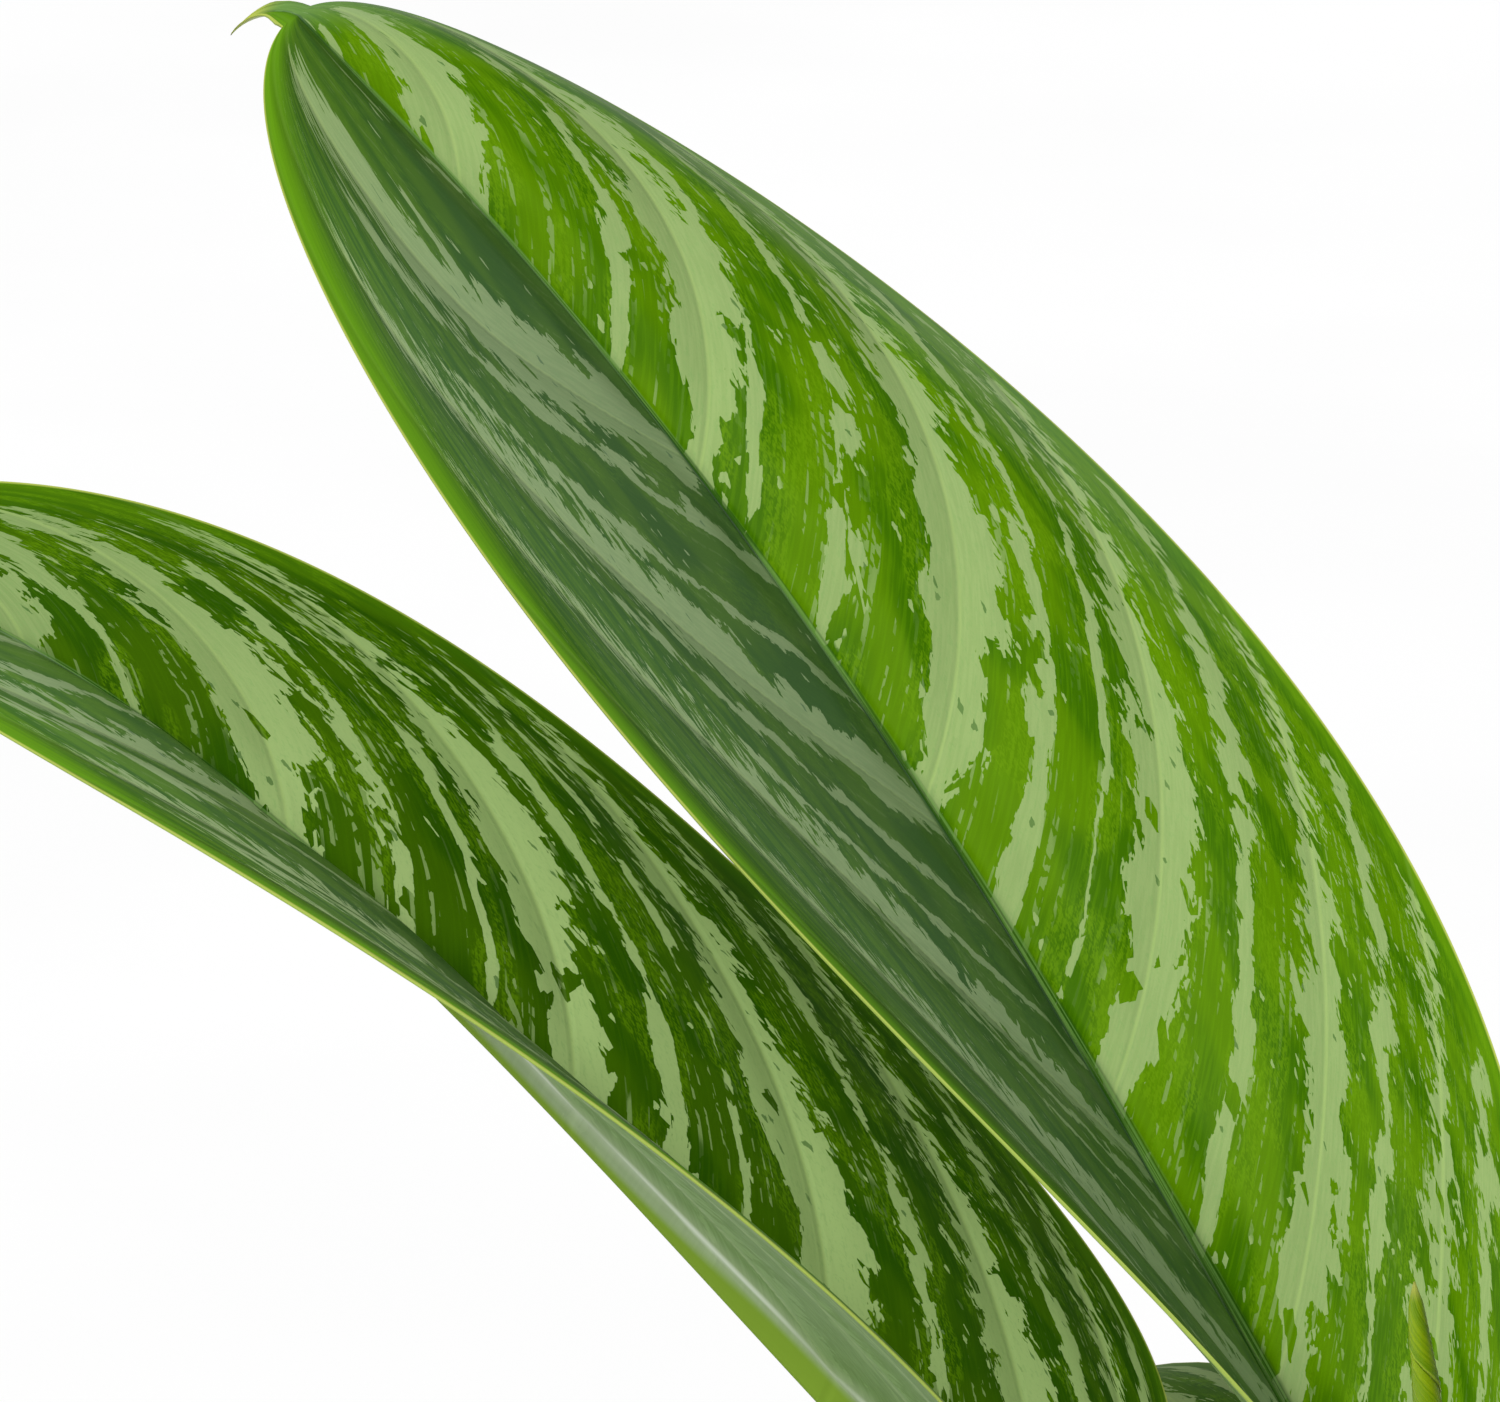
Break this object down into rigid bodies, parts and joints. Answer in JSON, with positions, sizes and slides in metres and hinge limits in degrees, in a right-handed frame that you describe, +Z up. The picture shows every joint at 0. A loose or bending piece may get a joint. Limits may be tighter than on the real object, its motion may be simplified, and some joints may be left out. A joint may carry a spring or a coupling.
{
  "type": "potted chinese evergreen plant",
  "caption": "Bushy foliage house plant in a plain tapered clay pot, with long folded, arching, drip-tipped leaf blades striped along their veins on slender stalks.",
  "frame": {"origin": "middle of the flat underside of the pot", "axes": "+Z up, out of the pot; seen along +Y, +X is to the right and the two largest striped blades arch away to the left"},
  "size_m": [0.6532, 0.6064, 0.6035],
  "materials": {
    "clay": "unglazed fired clay, matte, with faint lime bloom",
    "potting_soil": "dark crumbly peat with bark and perlite",
    "stalk": "smooth pale green living stalk, satin",
    "young_leaf": "waxy yellow-green rolled leaf, satin",
    "leaf_blade": "leathery satin green with pale grey-green torn stripes along the side veins, paler underneath"
  },
  "bodies": {
    "root": {"pot": "clay", "soil": "potting_soil", "stem_1": "stalk", "stem_2": "stalk", "stem_3": "stalk", "stem_4": "stalk", "stem_5": "stalk", "spear_1": "young_leaf", "spear_3": "young_leaf", "spear_4": "young_leaf", "blade_1a": "leaf_blade", "blade_2a": "leaf_blade", "blade_1b": "leaf_blade", "blade_1c": "leaf_blade", "blade_1d": "leaf_blade", "blade_2b": "leaf_blade", "blade_2c": "leaf_blade", "blade_3a": "leaf_blade", "blade_3b": "leaf_blade", "blade_3c": "leaf_blade", "blade_3d": "leaf_blade", "blade_3e": "leaf_blade", "blade_4a": "leaf_blade", "blade_4b": "leaf_blade", "blade_4c": "leaf_blade", "blade_4d": "leaf_blade", "blade_4e": "leaf_blade", "blade_5a": "leaf_blade", "blade_5b": "leaf_blade", "blade_5c": "leaf_blade", "blade_5d": "leaf_blade"}
  },
  "joints": []
}
